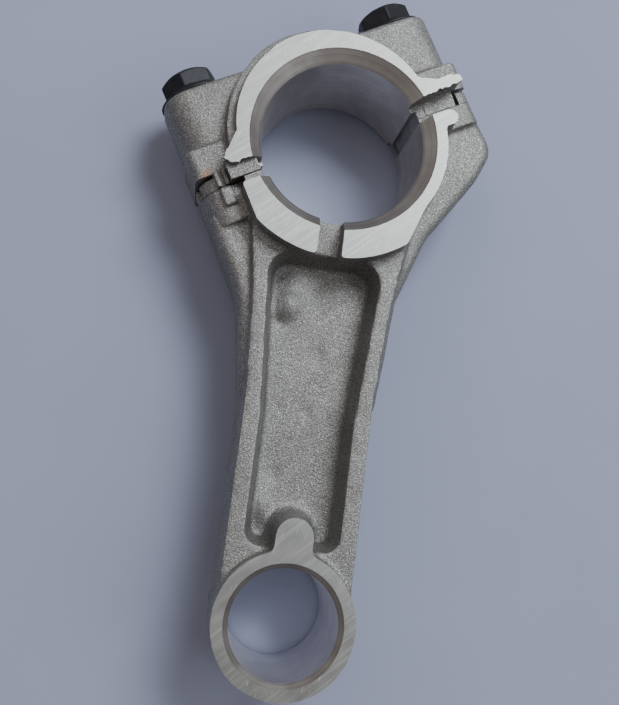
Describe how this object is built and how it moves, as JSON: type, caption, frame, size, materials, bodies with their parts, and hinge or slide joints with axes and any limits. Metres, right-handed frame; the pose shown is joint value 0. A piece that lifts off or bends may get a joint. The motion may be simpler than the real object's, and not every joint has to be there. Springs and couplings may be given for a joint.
{
  "type": "connecting rod",
  "caption": "Cast engine connecting rod with an I-section shank, a plain piston-pin eye and an obliquely split crankpin bore closed by a bearing cap held with flanged bolts.",
  "frame": {"origin": "centre of the crankpin bore, half way through the width of the rod", "axes": "+Z along the crankpin bore, out of the face with the match mark; +Y from the piston-pin bore to the crankpin bore; +X completes the right hand"},
  "size_m": [0.0798, 0.1651, 0.0296],
  "materials": {
    "cast_aluminium": "shot-blasted die casting with machined faces and bored holes",
    "black_oxide_steel": "black oxide, lightly oiled"
  },
  "bodies": {
    "rod": {"rod_body": "cast_aluminium"},
    "cap": {"bearing_cap": "cast_aluminium"},
    "left_bolt": {"cap_bolt_left": "black_oxide_steel"},
    "right_bolt": {"cap_bolt_right": "black_oxide_steel"}
  },
  "joints": [
    {"name": "cap_lift", "type": "slide", "parent": "rod", "child": "cap", "axis": [-0.5, 0.866, 0], "range_m": [0, 0.03]},
    {"name": "left_bolt_out", "type": "slide", "parent": "cap", "child": "left_bolt", "axis": [-0.5, 0.866, 0], "range_m": [0, 0.042]},
    {"name": "right_bolt_out", "type": "slide", "parent": "cap", "child": "right_bolt", "axis": [-0.5, 0.866, 0], "range_m": [0, 0.042]}
  ]
}
